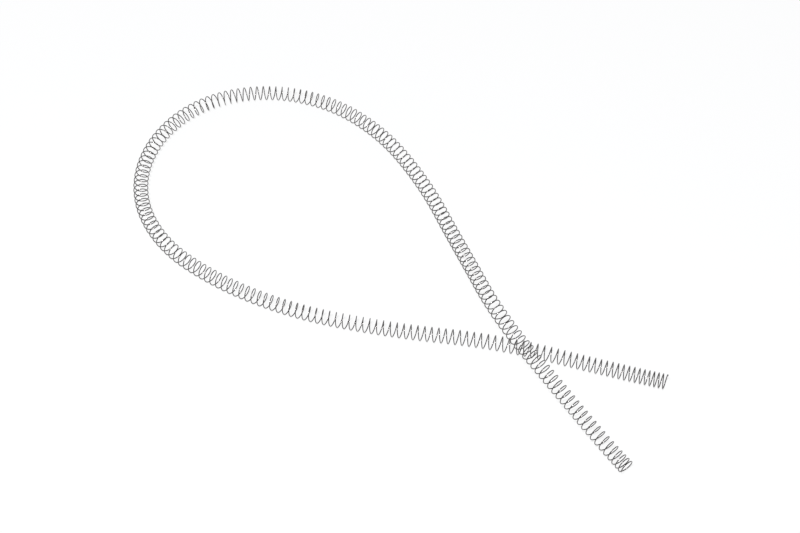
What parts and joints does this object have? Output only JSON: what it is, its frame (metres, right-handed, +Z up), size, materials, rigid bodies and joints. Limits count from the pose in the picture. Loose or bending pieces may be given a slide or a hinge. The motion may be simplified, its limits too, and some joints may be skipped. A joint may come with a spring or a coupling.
{
  "type": "hose support spring",
  "caption": "Long slender helical spring of round stainless wire, lying as one open loop whose two ends cross.",
  "frame": {"origin": "on the surface that the spring lies on, under the middle of the loop's box", "axes": "+Z up, +X from the loop's round end towards the two ends, +Y from the ends' side towards the loop's top"},
  "size_m": [0.4412, 0.4155, 0.0258],
  "materials": {
    "wire": "bright drawn stainless spring wire"
  },
  "bodies": {
    "root": {"spring": "wire"}
  },
  "joints": []
}
